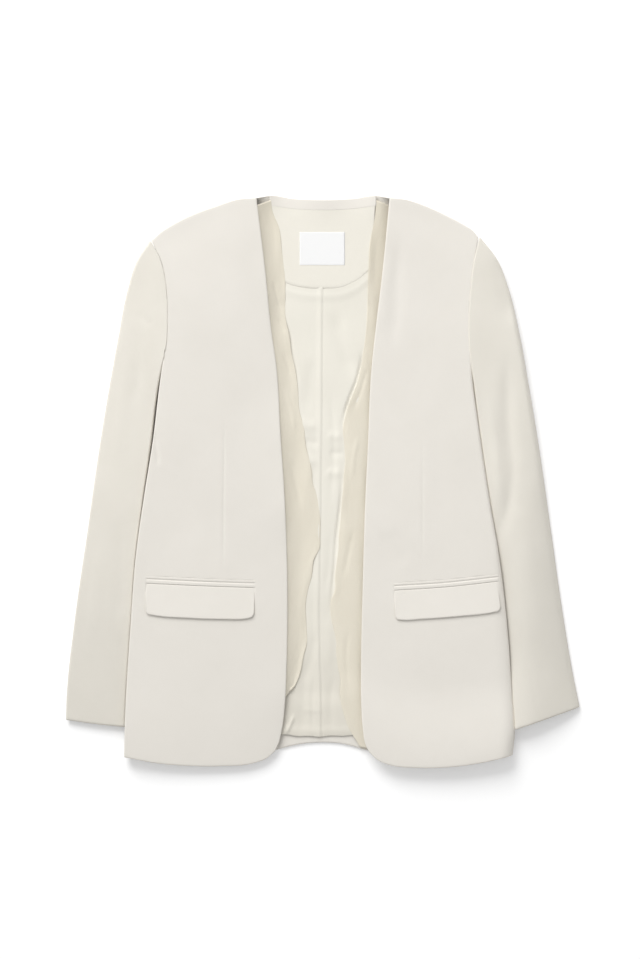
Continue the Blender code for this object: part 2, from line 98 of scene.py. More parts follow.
SLEEVE_OUTER = (
    (334, -310.5, 333.8, -294), (332.8, -278, 326.5, -258.5), (322.4, -180.5, 310, -160),
    (305.5, -63.5, 296.4, -63.5), (288.6, 53.5, 279.5, 53.5), (275.6, 131.5, 266.5, 131.5),
    (265, 190, 256, 190), (253.5, 248.5, 241.8, 248.5), (240.5, 287.5, 226.2, 287.5),
    (224.4, 312.6, 203.6, 316.6),
)
SLEEVE_INNER = (
    (209, -323, 205, -337.5), (199, -240, 185, -240), (190, -160, 174, -160), (186, -90, 171, -90),
    (192, -30, 177, -30), (204.5, 20, 188.5, 20), (215, 60, 198.5, 60), (215.5, 90, 197.5, 90),
    (213, 112, 195.5, 112), (211.2, 132, 194, 132), (210.3, 148, 194, 148),
)
CUFF = ((334, -310.5, 333.8, -294), (290, -316.5, 290, -308.5), (209, -323, 205, -337.5))
# Free inner edge of each facing, from its hem end to the neck.
FACING_INNER = {
    "right": (
        (44, -269.5), (38, -268), (33.7, -261), (28.1, -244), (25.2, -228.6), (20.9, -211.7),
        (21.5, -187), (22.4, -159.7), (20.4, -146.7), (14.6, -123.3), (11.7, -102.5), (4.5, -88),
        (3.5, -71.2), (3.5, -42.2), (4.4, -28.3), (9, -15), (13.4, -2), (14.6, 12.4), (16.3, 22.3),
        (22.1, 45.7), (25.5, 73.5), (30.2, 90), (32.5, 121), (36.3, 147.4), (40, 162.7), (44, 191.3),
        (48.5, 212), (49, 239), (49.3, 267.6), (53.4, 300), (56.8, 328.6), (66, 353.4), (67.5, 366),
    ),
    "left": (
        (48.5, -346.5), (43.5, -338.5), (38, -329.6), (33.5, -321.3), (29.8, -310.5), (25.5, -296.5),
        (22.6, -279.3), (23, -258.5), (19.9, -243), (17.2, -221.8), (17.6, -209), (15.6, -198),
        (12.1, -183.8), (10, -169.7), (10.9, -154.5), (15, -144), (16.1, -121), (17.9, -106),
        (20.3, -88.6), (20.8, -70), (22.6, -53.8), (24.8, -24.5), (26.7, -7.3), (27.2, 6.7), (29.3, 24),
        (28, 47), (26.1, 68.8), (28.4, 81), (33.7, 101.3), (38.4, 113), (45.4, 131.5), (49.2, 146.6),
        (51.6, 162.7), (55.5, 191.3), (57.8, 220), (58.4, 239), (59.4, 277), (61.2, 309.6), (68, 347.7),
        (69.5, 366),
    ),
}
# Lower edge of the neck facing, from the centre line to its hidden side.
NECK_FACING_LOWER = ((0, 251, 0, 251), (28, 252.5, 24.5, 252.5), (49.4, 259, 44, 261), (66, 276, 62, 276))
POCKET_MOUTH = ((88, -138.5, 92, -142), (160, -136, 160, -137.5), (230, -132.5, 227.5, -130))
FLAP_LOWER = (
    (89.8, -168.8, 93.8, -172.8), (90.6, -174.3, 94.6, -177.4), (93, -177.2, 97, -179.8),
    (97.5, -178.3, 101, -180.3), (131, -179.3, 130, -179.1), (175, -177.8, 175, -175.6),
    (222, -173.7, 222, -170), (227.6, -172.4, 227, -168.8), (229.8, -169.8, 229.2, -166.4),
    (230.4, -164.8, 229.8, -161.8),
)

# The upper edge of the hem inside the back, less its depth, and the lining's centre seam: x and y.
HEM_UPPER = ((-250, -352), (-120, -350), (0, -346), (120, -350), (240, -352))
CENTRE_SEAM = ((-0.6, 262), (-0.7, 251), (-3, -24.5), (-5.2, -187), (-2.6, -299), (-2.4, -334))

# Heights of the front above the back's lowest face, by the share of its length from hem to shoulder.
FRONT_LOFT = (  # share, at the free edge, in the middle, at the side
    (0.00, 10, 11.5, 13.5),
    (0.06, 10.8, 13, 15.5),
    (0.16, 11.2, 13.8, 16.5),
    (0.35, 10.6, 14, 17),
    (0.55, 10.2, 14.4, 17.5),
    (0.72, 11, 14.8, 17),
    (0.86, 14.2, 14.8, 16),
    (1.00, 15.5, 14, 14.5),
)
# How much higher each front's hem stands, at its free edge and at the side, over a share of its length.
HEM_LIFT = {"right": (-2.5, 2.2), "left": (7.0, 8.5)}
HEM_LIFTED = 0.15
SEAM_LIFTED = 0.05  # how much of that the side seam takes
# Heights of a sleeve's top where it shows: by the share from cuff to cap, from its outer fold to the body.
SLEEVE_LOFT = {
    "right": (
        (0.00, 5.2, 5.8, 6.3, 6.4, 6),
        (0.15, 8.4, 9, 9.4, 9.4, 8.8),
        (0.35, 9.6, 10.4, 10.8, 10.8, 10),
        (0.50, 10.4, 11.5, 12, 12, 11.2),
        (0.65, 11, 12, 12.5, 12.5, 12),
        (0.80, 11, 12.4, 13.2, 13.6, 13.6),
        (1.00, 10, 11.5, 12.5, 13.5, 14),
    ),
    "left": (
        (0.00, 4.6, 11, 15.4, 18, 17),
        (0.15, 4.6, 12.4, 16.2, 15, 7),
        (0.35, 4.8, 12.9, 17.4, 15.4, 7.5),
        (0.50, 9, 13.8, 16, 15.2, 12),
        (0.65, 12.8, 14.4, 15.2, 15.4, 14),
        (0.80, 12.6, 14.2, 15.2, 15.8, 14.4),
        (1.00, 11.5, 13.2, 14.4, 15, 14.4),
    ),
}
# Height of a sleeve's outer fold, and the width it rounds over, low and high.
OUTER_FOLD = {"right": 5.2, "left": 1.0}
FOLD_ROLL = {"right": (0.9, 0.9), "left": (9.0, 10.0)}
INNER_FOLD = 1.2
# The slit between a sleeve and the body: up, how far it opens, and the share of the height it cuts.
SLIT = {
    "right": (
        (-340, 0.2, 0.30), (-150, 0.2, 0.30), (-93, 0.3, 0.45), (-50, 0.5, 0.60), (-20, 0.9, 0.80),
        (13, 1.3, 0.90), (50, 1.9, 1), (88, 2.3, 1), (113, 1.9, 0.95), (135, 0.9, 0.7), (150, 0.2, 0.3),
        (160, 0, 0),
    ),
    "left": (
        (-340, 0.2, 0.30), (-150, 0.2, 0.30), (-93, 0.25, 0.30), (-50, 0.3, 0.32), (13, 0.3, 0.35),
        (50, 0.4, 0.38), (88, 0.6, 0.50), (113, 0.8, 0.65), (133, 0.6, 0.5), (143, 0.2, 0.2),
        (152, 0, 0),
    ),
}
SLIT_SLOPE = (-1.4, 0.8)  # from where to where beside the slit's line the sleeve turns down into it
CLOTH_ON_CLOTH = 1.7  # height of a sleeve's top over its underside where the slit presses it down
SHOWING = 0.8  # share of a sleeve's columns that lie outside the body
# Steps in the search for the slit, how far across a sleeve it may lie, and how its hidden columns bunch.
LED_STEPS, LED_LIMIT, LED_BUNCHING = 161, 0.985, 1.8
TOP_EDGE = (  # out from the centre, height of the neck edge and then of the shoulder seam
    (0, 2),
    (69, 3),
    (90, 12),
    (150, 10.5),
    (225, 10),
)
SEAM_SHARE = {"right": 0.67, "left": 0.62}  # height of the side seam as a share of the front's there
# How far in from its side a front rounds over, low and high, and where the one gives way to the other.
BODY_ROLL = {"right": (1.3, 1.3), "left": (19.0, 4.0)}
ROLL_NARROWS = (0.22, 0.42)
SIDE_ROLL = 9.0  # the same for the back and for the underside of a sleeve
SHOULDER_SLOPE, SHOULDER_ROLL = 50.0, 1.6  # how far from its seam a shoulder falls, and rounds over
SLOPE_SHARE = 0.15  # share of its fall that the slope takes
BACK_ROLL = 14.0  # how far from its shoulder seam the back rounds over
NECK_RISE = 45.0  # how far below the back neck the cloth starts to rise to its edge
ARMHOLE_CLOSES = 0.045  # share of the front's length over which the armhole shuts at the underarm
UNDERARM_OPEN = 0.40  # what it leaves open there
BACK_LIFT = 9.8  # height of the back where it lies on a sleeve
OVER_FOLD = (-38.0, -8.0)  # out from the sleeve's inner fold, where the back rises onto it
OVER_CUFF = (-45.0, -6.0)  # up from the cuff, where it rises too
OVER_UNDERARM = (105.0, 140.0)  # up, where it leaves the sleeve
NECK_TO_SHOULDER = (66.0, 96.0)  # out, where the neck edge gives way to the shoulder seam
CAP = {"top": (0.80, 1.0), "under": (0.92, 1.0)}  # share of the sleeve over which it climbs to the armhole

WELT_DEPTH = 5.5
WELT_FLANGE = 3.6  # how far the cloth above a welt's seam belongs to it
WELT_FLUSH, SEAM_GROOVE, GROOVE_WIDTH = 0.06, 0.8, 0.8  # how it stands, and its seam
FLAP_DEPTH, FLAP_STANDS, FLAP_SETTLES = 43, 3.0, 0.5  # how far it stands off, low, and sinks, high
WELT_TURN, FLAP_TURN, POCKET_TURN_REACH = 0.5, 0.9, 1.8  # how far their edges turn down
LABEL, LABEL_MIDDLE = (59.0, 43.0), (-1.0, 303.0)
NECK_BAND = 13.0  # its width
HEM_DEPTH, HEM_SETTLES = 58.0, 0.3  # how deep it is turned up, and how far it sinks onto the back
LINING_SIDE, LINING_SHOWN = 112.0, 62.0  # out from the centre line
LINING_TOP, LINING_HEM = 284.0, -333.0
LINING_HEM_WAVE = (0.9, 6.5, 15)  # how far its edge waves, and the lengths of a short and a long wave
LINING_HEM_CURVE = (0.02, 1.2)  # how fast its edge rises to the sides, and the power of that curve
LINING_STANDS = 0.4  # how far it stands off what it lies on
# Humps of the lining: height, distance and width. Below the neck facing and its seam, and above the hem.
LINING_BULGE, LINING_SEAM, LINING_HEM_BULGE = (0.7, 9, 6), (0.45, 0, 3), (0.6, 7, 5)
LINING_TURN = (0.4, 2)  # how far its hem turns down, and from where
# The centre pleat: how high it stands, where beside its seam it rises and falls, and the groove by it.
PLEAT_RISE, PLEAT_FOLD, PLEAT_FALLS, PLEAT_GROOVE = 0.8, (-0.6, 0.6), (1, 9), (0.3, 1, 1)
FACING_TUCK = 4.0  # how far in from the front's edge it starts, out of sight
FACING_DEPTH = {"right": 0.0, "left": 12.0}  # how far below a front its facing starts
# The shares of the front's edge between which its facing runs.
FACING_LOW, FACING_HIGH = {"right": 0.085, "left": 0.004}, 0.985
FACING_DROP = {"right": 24.0, "left": 9.0}  # the width over which it falls at most
FACING_CURL = {"right": 0.3, "left": 0.25}  # how far its free edge stands off, in waves
FACING_TURN = {"right": 0.5, "left": 0.25}  # how far its free edge turns down
FACING_SETTLES = 0.5  # how far it sinks onto the lining
FACING_FALLS, LEAST_DROP = 0.9, 8  # the share of its width over which it falls, and the least width
# The curl's long and short waves, the share of the short ones, and where the curl and the turn end.
CURL_WAVES, CURL_SHORT, CURL_REACH, FACING_TURN_REACH = (23, 9.5), 0.6, (1, 9), 1.6
FACING_WAVE = (0.4, 21, 9, 8)  # height of the slow waves, their lengths up and across, and their end
FACING_PHASE = {"right": 0, "left": 2}
# Up, where the lining and the facings leave the hem below them, and the facings reach the neck facing.
LINING_OFF_HEM, FACING_OFF_HEM = (-296.0, -272.0), (-285.0, -245.0)
FACING_ON_NECK_FACING = (225.0, 245.0)
NECK_SEAM = 0.6  # how little a facing stands above the neck facing it is sewn to

# Seams and edges.
SEAM_DIP, SEAM_REACH = 0.35, 3.2  # how far the cloth turns down into a seam, and from where
EDGE_DIP, EDGE_REACH = 1.1, 2.6  # the same at the fronts' free edge and hem
DART_DIP, DART_WIDTH = {"right": 0.42, "left": 0.26}, 1.7
POCKET_BED = 1.6  # how far the front sinks under a pocket's welt and the top of its flap
BED_SIDES = (0.3, 3)  # in from a pocket's ends, where this bed starts and where it is full
BED_ABOVE, BED_BELOW = (2.3, 0.6), (-18, -6)  # the same above the welt's seam, and below the mouth
TURNED_EDGE = (0.0, 0.25, 0.7, 1.3, 2.0, 2.8)  # distances from an edge that turns down

# Slow unevenness: the height of its waves, their size and turn, and how far inside a front it is full.
SWELLS = {"front": (0.5, 120), "sleeve": (0.5, 90), "lining": (0.4, 60, 0.7)}
SWELL_FROM_SIDE, SWELL_FROM_TOP = 20, 25

# Each piece's width and length, nearly, and the steps of its grid across and along.
GRIDS = {
    "front": (190, 725, 1.7, 2.8),
    "back": (250, 725, 5.0, 5.0),
    "sleeve": (66, 650, 1.15, 2.4),
    "facing": (48, 690, 1.4, 2.0),
    "lining": (2 * LINING_SIDE, 600, 4.0, 2.4),
    "hem": (500, HEM_DEPTH, 3.0, 2.0),
}
UNDERSIDE, UNDERSIDE_STEP = 110, 5.5  # of a sleeve
POCKET_WIDTH, POCKET_STEP = 140, 2.0
FINE_STEP, LINING_FINE_STEP, NECK_STEP = 0.9, 1.5, 1.8
DART_ZONE, POCKET_ZONE = (0.40, 0.46), (0.28, 0.325)  # shares of the front's width and length

# Woven cloth: how fine its slubs and clouds are per metre, how far they shade it, and its relief.
SLUB_SCALES, CLOUD_SCALE = (1400, 90), 14.0
SLUB_SHADE, CLOUD_SHADE = 0.5, 1.6
THREAD_RELIEF, SLUB_RELIEF = 0.6, 0.8

# The stage, in metres.
WORLD = 0.54
LAMP = 383.0  # watts
LAMP_PLACE = (-2.25, 4.95, 3.5)
LAMP_SIZE = 4.1
CAMERA_HEIGHT = 3.0
FRAME_HEIGHT = 1.2467  # of the view, at the height of the cloth
CLOTH_HEIGHT = 0.012
FRAME_MIDDLE = (-0.0039, 0.0021)
FLOOR_SIZE, FLOOR_UP = 12, -0.0006
FLOOR_SHADE, FLOOR_GLOW = 0.93, 0.20


def ease(value, start, end):
    """0 at the start, 1 at the end, smooth between."""
    share = np.clip((value - start) / (end - start), 0, 1)
    return share * share * (3 - 2 * share)


def roll(distance, reach):
    """0 at a rounded edge and 1 from reach inwards, along a quarter of an ellipse."""
    share = np.clip(distance / reach, 0, 1)
    return np.sqrt(1 - (1 - share) ** 2)


def hump(value, height, middle, width):
    """A rounded ridge about a middle value."""
    return height * np.exp(-(((value - middle) / width) ** 2))


def narrowing(reaches, along):
    """How far in an edge rounds over, from its low reach to its high one."""
    low, high = reaches
    return low + ease(along, *ROLL_NARROWS) * (high - low)


def smooth(knots, values):
    """A curve through values at the knots, as a function of the knot coordinate."""
    knots, values = np.array(knots, float), np.array(values, float)
    slopes = np.gradient(values, knots, axis=0)

    def at(where):
        where = np.clip(where, knots[0], knots[-1])
        i = np.clip(np.searchsorted(knots, where, side="right") - 1, 0, len(knots) - 2)
        width = knots[i + 1] - knots[i]
        share = (where - knots[i]) / width
        if values.ndim > 1:
            width, share = width[..., None], share[..., None]
        rise = values[i + 1] - values[i]
        bend = (1 - share) * (width * slopes[i] - rise) + share * (rise - width * slopes[i + 1])
        return values[i] + share * rise + share * (1 - share) * bend

    return at


def outline(points):
    """The curve through a row of points, by the share of its length."""
    points = np.array(points, float)
    steps = np.linalg.norm(np.diff(points, axis=0), axis=1)
    return smooth(np.append(0, np.cumsum(steps)) / steps.sum(), points)


def column(table, key):
    """A height table's column, as a function of its first column."""
    rows = np.array(table)
    return smooth(rows[:, 0], rows[:, key])


def length(points):
    """How long the straight steps through points are."""
    return np.linalg.norm(np.diff(points, axis=0), axis=1).sum()


def of_side(table, side):
    """The outline points of one side of the wearer."""
    pick = slice(0, 2) if side == "right" else slice(2, 4)
    return [row[pick] for row in table]


def across_both(table, raised=0.0):
    """The outline of both sides in one, from the wearer's right to the left."""
    points = [(-out, up) for out, up in of_side(table, "right")[::-1]] + of_side(table, "left")[1:]
    return outline([(x, y + raised) for x, y in points])


def joined(*lines):
    """Lines that follow each other, end to start, as one."""
    points = list(lines[0])
    for line in lines[1:]:
        points += list(line[1:])
    return points


def patch(near, far, low, high):
    """The plan of a piece between four edges: near and far run up it, low and high across."""

    def at(across, along):
        a, u = across[..., None], along[..., None]
        ends = (1 - u) * ((1 - a) * low(0 * across) + a * low(0 * across + 1))
        ends = ends + u * ((1 - a) * high(0 * across) + a * high(0 * across + 1))
        return (1 - a) * near(along) + a * far(along) + (1 - u) * low(across) + u * high(across) - ends

    return at


def between(low, high):
    """The plan between two lines, its sides straight from end to end."""
    sides = []
    for share in (0.0, 1.0):
        end = np.array([share])
        sides.append(outline((low(end)[0], high(end)[0])))
    return patch(sides[0], sides[1], low, high)


def spacing(total, step, first=(), last=()):
    """Shares of a total length: even steps, with given distances from its two ends."""
    first, last = np.array(first, float), np.array(last, float)
    low = first[-1] + step if len(first) else 0.0
    high = total - last[-1] - step if len(last) else total
    middle = np.linspace(low, high, max(2, round((high - low) / step) + 1))
    return np.concatenate([first, middle, (total - last)[::-1]]) / total


def quarter(reach, count):
    """Distances from a rounded edge at which its curve turns by even angles."""
    return reach * (1 - np.cos(np.linspace(0, np.pi / 2, count)))


def finer(shares, low, high, step):
    """The shares with an even finer step between two of them."""
    inside = np.linspace(low, high, round((high - low) / step) + 1)
    return np.concatenate([shares[shares < low - step / 2], inside, shares[shares > high + step / 2]])


class Crease:
    """A soft trough or ridge along a line in plan, deepest in its middle."""

    def __init__(self, depth, width, *line):
        self.depth, self.width = depth, width
        self.line = outline(line)(np.linspace(0, 1, 25)) if len(line) > 2 else np.array(line, float)

    def at(self, points, ends=0.3):
        """The crease's height at places in plan. It fades over a share of its length at both ends."""
        steps = np.linalg.norm(np.diff(self.line, axis=0), axis=1)
        starts = np.append(0, np.cumsum(steps))
        nearest, along = np.full(len(points), 1e9), np.zeros(len(points))
        for start, end, done, step in zip(self.line[:-1], self.line[1:], starts, steps):
            share = np.clip((points - start) @ (end - start) / step**2, 0, 1)
            apart = np.linalg.norm(points - start - share[:, None] * (end - start), axis=1)
            closer = apart < nearest
            nearest = np.where(closer, apart, nearest)
            along = np.where(closer, (done + share * step) / starts[-1], along)
        fade = ease(along, 0, ends) * ease(1 - along, 0, ends)
        return hump(nearest, self.depth * fade, 0, self.width)


def creases(*rows):
    """The creases of a table of heights, half widths and lines."""
    return [Crease(*row) for row in rows]


def swell(points, height, size, turn):
    """A slow unevenness of the cloth, with waves of about one size in three directions."""
    wave = 0
    for k, angle in enumerate((0.3, 1.4, 2.5)):
        way = points @ (np.cos(angle + turn), np.sin(angle + turn))
        wave = wave + np.sin(2 * np.pi * way / (size * (1 + 0.35 * k)) + 3.1 * turn + 1.7 * k)
    return height * wave / 3


# Creases as they lie on each piece: height of the crease, half its width, and its line, out and up. The
# lining's lines are x and y.
FRONT_CREASES = {
    "right": creases(
        (-1.1, 3.2, (220, 66), (216.5, 44), (212.5, 18)),
        (4.2, 40, (22, 125), (26, 30), (28, -90)),
        (-0.5, 16, (112, 150), (104, 60), (108, -30)),
        (-0.4, 14, (92, 330), (88, 260), (80, 190)),
        (0.5, 22, (180, -60), (150, -110), (110, -120)),
    ),
    "left": creases(
        (-0.9, 8.5, (101, 330), (96, 265), (94, 215), (88, 160)),
        (0.5, 7, (88, 300), (80, 240), (76, 190)),
        (-0.6, 14, (80, -60), (95, -95), (112, -112)),
        (-0.4, 12, (150, 100), (152, 20), (156, -60)),
        (0.5, 18, (180, 240), (160, 160), (150, 80)),
    ),
}
SLEEVE_CREASES = {
    "right": creases(
        (-0.8, 9, (246, 210), (240, 150), (246, 90)),
        (0.5, 10, (262, 150), (262, 90), (268, 20)),
        (-0.8, 10, (266, -40), (262, -120), (270, -200)),
        (0.5, 9, (290, -70), (296, -150), (304, -220)),
        (-0.4, 5, (240, 222), (230, 208), (220, 200)),
    ),
    "left": creases(
        (
            -2.4, 9, (238, 180), (238.5, 140), (239.5, 100), (242, 53.5), (246, 14.5), (242, -24.5),
            (232, -64), (217, -99),
        ),
        (-2, 11, (226, 300), (240, 245), (246, 200)),
        (-0.8, 10, (262, 30), (258, -20), (256, -50)),
        (1.5, 7, (214, 120), (218, 92), (225, 43), (227, 4), (238, -50)),
        (-0.5, 9, (276, -190), (284, -225), (292, -262)),
        (
            -0.25, 1.3, (241.8, -126), (257.4, -189.6), (265.9, -232.5), (271.2, -261), (278.2, -295),
            (296, -365),
        ),
    ),
}
FACING_CREASES = {
    "right": creases(
        (-0.7, 2.5, (66, 262), (60, 240), (54, 222)),
        (0.5, 3, (60, 262), (56, 244), (52, 226)),
        (-0.6, 2.5, (60, 214), (54, 204), (48, 192)),
        (-0.6, 3, (52, 170), (46, 150), (42, 134)),
        (0.6, 3, (50, 120), (40, 90), (36, 60)),
        (-0.7, 3.5, (44, 30), (34, -10), (28, -40)),
    ),
    "left": creases(
        (1.1, 6, (62, 335), (59, 280), (56, 215)),
        (-0.7, 3, (58, 150), (50, 120), (40, 92)),
        (0.6, 3, (46, 60), (40, 30), (38, 0)),
        (-0.7, 3.5, (40, -60), (32, -100), (26, -130)),
        (-0.5, 3, (34, -190), (30, -230), (34, -270)),
    ),
}
LINING_CREASES = creases(
    (-1.5, 9, (10, 225), (26, 178), (42, 130)),
    (0.5, 6, (24, 215), (36, 180), (48, 150)),
    (-0.7, 8, (-12, 165), (-18, 118), (-22, 84)),
    (0.9, 7, (-34, 80), (-20, 72), (-4, 74)),
    (-0.7, 5, (-24, 56), (-14, 50), (-4, 52)),
    (1, 7, (-26, 32), (-14, 26), (-6, 28)),
    (0.8, 6, (6, 64), (16, 58), (26, 62)),
    (0.9, 6, (4, 16), (14, 10), (26, 14)),
    (-0.8, 5, (8, 40), (18, 36), (28, 40)),
    (-0.6, 4, (10, 120), (14, 60), (10, -40)),
    (0.3, 5, (16, 110), (20, 40), (16, -40)),
    (1.8, 2.2, (-37, -303), (-43, -318), (-50, -332)),
    (-0.7, 5, (10, -60), (8, -110), (2, -150)),
    (-0.8, 6, (-8, -190), (-16, -230), (-28, -270)),
    (-1.2, 8, (-22, -225), (-25, -280), (-28, -345)),
    (0.6, 6, (6, -170), (8, -210), (6, -250)),
    (-0.7, 5, (14, -250), (10, -285), (12, -330)),
    (-0.7, 3, (-14, -256), (-14, -290), (-14, -331)),
    (0.5, 3, (-30, -298), (-14, -299), (2, -299)),
    (-1.9, 2.3, (52.5, 176), (50.5, 160), (48, 146), (44, 131), (37, 113), (32.5, 101), (27, 81), (25, 66)),
    (-1.3, 1.8, (-52, 222), (-51, 212), (-44, 191), (-39, 163), (-35, 147), (-31, 121)),
    (-1.7, 2.2, (25, 20), (23, -25), (17, -80), (14, -121), (8, -180)),
)
DARTS = {"right": ((128, 92), (130, -132)), "left": ((129.4, 84), (129.4, -124))}


class Panel:
    """A piece's plan and height by two shares: across it from 0 to 1, and along it from 0 to 1."""

    def distance(self, across, along, edge_across, edge_along):
        """How far a place is from the place at other shares, in plan."""
        there = self.plan(edge_across + 0 * across, edge_along + 0 * along)
        return np.linalg.norm(self.plan(across, along) - there, axis=-1)

    def shares_at(self, points):
        """The shares of the places in plan that points give, by Newton's steps."""
        found = np.full((len(points), 2), 0.5)
        for _ in range(12):
            here = self.plan(*found.T)
            step = np.where(found < 0.5, 1e-5, -1e-5)
            by_across = self.plan(found[:, 0] + step[:, 0], found[:, 1]) - here
            by_along = self.plan(found[:, 0], found[:, 1] + step[:, 1]) - here
            slopes = np.stack([by_across, by_along], axis=-1) / step[:, None, :]
            found = np.clip(found + np.linalg.solve(slopes, (points - here)[..., None])[..., 0], 0, 1)
        return found.T

    def on(self, points):
        """The height at places in plan."""
        return self.height(*self.shares_at(points))


class Front(Panel):
    """One front, from the free edge to the side, and from the hem to the shoulder."""

    def __init__(self, side):
        seam, armhole = of_side(SIDE_SEAM, side), of_side(ARMHOLE, side)
        self.side = side
        self.edge = outline(of_side(FRONT_EDGE, side))
        self.plan = patch(
            self.edge,
            outline(joined(seam, armhole)),
            outline(of_side(HEM, side)),
            outline(of_side(SHOULDER, side)),
        )
        self.underarm = length(seam) / (length(seam) + length(armhole))

    def closed(self, along):
        """1 where the side is a seam, 0 along the open armhole, and nearly shut at the underarm."""
        seam = 1 - UNDERARM_OPEN * (1 - ease(self.underarm - along, 0, ARMHOLE_CLOSES))
        armhole = (1 - UNDERARM_OPEN) * (1 - roll(along - self.underarm, ARMHOLE_CLOSES))
        return np.where(along < self.underarm, seam, armhole)

    def side_seam(self, along):
        """The height of the seam that joins the front to the back."""
        side = column(FRONT_LOFT, 3)(along)
        return SEAM_SHARE[self.side] * side + SEAM_LIFTED * self.raised(1, along)

    def raised(self, across, along):
        """How much higher the front lies near its hem."""
        edge, side = HEM_LIFT[self.side]
        return (edge + across * (side - edge)) * (1 - ease(along, 0, HEM_LIFTED))

    def loft(self, across, along):
        """A parabola through the heights at the free edge, in the middle and at the side."""
        edge, middle, side = (column(FRONT_LOFT, key)(along) for key in (1, 2, 3))
        from_edge = self.raised(across, along) + edge * (1 - across) * (1 - 2 * across)
        return from_edge + middle * 4 * across * (1 - across) + side * across * (2 * across - 1)

    def height(self, across, along):
        side_seam, loft = self.side_seam(along), self.loft(across, along)
        reach = narrowing(BODY_ROLL[self.side], along)
        rounded = 1 - roll(self.distance(across, along, 1, along), reach)
        height = loft + self.closed(along) * rounded * (side_seam - loft)
        shoulder_seam = column(TOP_EDGE, 1)(self.plan(across, along)[..., 0])
        to_top = self.distance(across, along, across, 1)
        fall = SLOPE_SHARE * (1 - ease(to_top, 0, SHOULDER_SLOPE))
        fall = fall + (1 - SLOPE_SHARE) * (1 - roll(to_top, SHOULDER_ROLL))
        return LAYER_GAP + height + fall * (shoulder_seam - height)

    def surface(self, across, along):
        """The height with the creases."""
        points = self.plan(across, along)
        from_side = ease(self.distance(across, along, 1, along), 0, SWELL_FROM_SIDE)
        from_top = ease(self.distance(across, along, across, 1), 0, SWELL_FROM_TOP)
        uneven = swell(points, *SWELLS["front"], SIDES[self.side])
        height = self.height(across, along) + from_side * from_top * uneven
        return height + sum(crease.at(points) for crease in FRONT_CREASES[self.side])

    def on(self, points):
        return self.surface(*self.shares_at(points))

    def in_pocket(self, points):
        """1 under the welt and the top of the flap, with a sharp edge only above the welt."""
        mouth = np.array(of_side(POCKET_MOUTH, self.side))
        above = points[:, 1] - smooth(mouth[:, 0], mouth[:, 1])(points[:, 0])
        out, first, last = points[:, 0], mouth[0, 0], mouth[-1, 0]
        starts, full = BED_SIDES
        sides = ease(out, first + starts, first + full) * ease(-out, starts - last, full - last)
        starts, full = BED_ABOVE
        upper = ease(-above, -WELT_DEPTH - starts, -WELT_DEPTH - full)
        return sides * upper * ease(above, *BED_BELOW)

    def dressed(self, across, along):
        """The surface with the turned edges, the dart and the pocket's bed."""
        points = self.plan(across, along)
        free = 1 - roll(self.distance(across, along, 0, along), EDGE_REACH)
        hem = 1 - roll(self.distance(across, along, across, 0), EDGE_REACH)
        armhole = 1 - roll(self.distance(across, along, 1, along), SEAM_REACH)
        armhole = np.where(along > self.underarm, armhole, 0)
        relief = -EDGE_DIP * np.maximum(free, hem) - SEAM_DIP * armhole
        relief = relief + Crease(-DART_DIP[self.side], DART_WIDTH, *DARTS[self.side]).at(points)
        relief = relief - POCKET_BED * self.in_pocket(points)
        return self.surface(across, along) + relief


class Back(Panel):
    """One half of the back, from the centre to the side, and from the hem to the neck and shoulder."""

    def __init__(self, side):
        self.front = Front(side)
        hem, neck = of_side(BACK_HEM, side), of_side(BACK_NECK, side)
        self.plan = patch(
            outline((hem[0], neck[0])),
            outline(joined(of_side(SIDE_SEAM, side), of_side(ARMHOLE, side))),
            outline(hem),
            outline(neck + of_side(SHOULDER, side)),
        )
        inner, cuff = np.array(of_side(SLEEVE_INNER, side)), np.array(of_side(CUFF, side))
        self.fold_out = smooth(inner[:, 1], inner[:, 0])
        self.cuff_up = smooth(cuff[::-1, 0], cuff[::-1, 1])

    def lift(self, place):
        """How far the sleeve below raises the back."""
        out, up = place[..., 0], place[..., 1]
        over_sleeve = ease(out - self.fold_out(up), *OVER_FOLD)
        above_cuff = ease(up - self.cuff_up(out), *OVER_CUFF)
        below_underarm = 1 - ease(up, *OVER_UNDERARM)
        return BACK_LIFT * over_sleeve * above_cuff * below_underarm

    def height(self, across, along):
        lift, side_seam = self.lift(self.plan(across, along)), self.front.side_seam(along)
        rounded = 1 - roll(self.distance(across, along, 1, along), SIDE_ROLL)
        height = lift + self.front.closed(along) * rounded * (side_seam - lift)
        out = self.plan(across, 0 * along + 1)[..., 0]
        to_top = self.distance(across, along, across, 1)
        at_shoulder = 1 - roll(to_top, BACK_ROLL)
        at_neck = (1 - np.clip(to_top / NECK_RISE, 0, 1)) ** 2
        rounded = at_neck + ease(out, *NECK_TO_SHOULDER) * (at_shoulder - at_neck)
        return height + rounded * (column(TOP_EDGE, 1)(out) - height)


